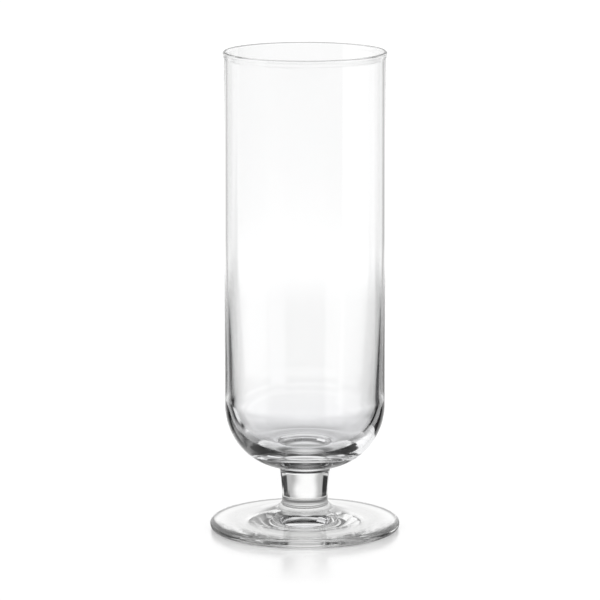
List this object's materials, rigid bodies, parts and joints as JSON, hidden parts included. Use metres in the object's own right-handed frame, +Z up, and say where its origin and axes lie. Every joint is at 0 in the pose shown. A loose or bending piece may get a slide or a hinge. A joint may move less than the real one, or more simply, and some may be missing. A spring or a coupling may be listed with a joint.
{
  "type": "cocktail glass",
  "caption": "Tall straight-sided cocktail glass: an open cylindrical bowl with a rounded thick base, fused to a short waisted solid stem and a round sloped foot.",
  "frame": {"origin": "centre of the ring that the foot stands on", "axes": "+Z up along the glass's axis, from the foot to the rim; X and Y are free, because the glass is turned"},
  "size_m": [0.077, 0.077, 0.195],
  "materials": {
    "bowl_glass": "clear, fire polished",
    "stem_glass": "clear, fire polished",
    "foot_glass": "clear, fire polished"
  },
  "bodies": {
    "root": {"bowl": "bowl_glass", "stem": "stem_glass", "foot": "foot_glass"}
  },
  "joints": []
}
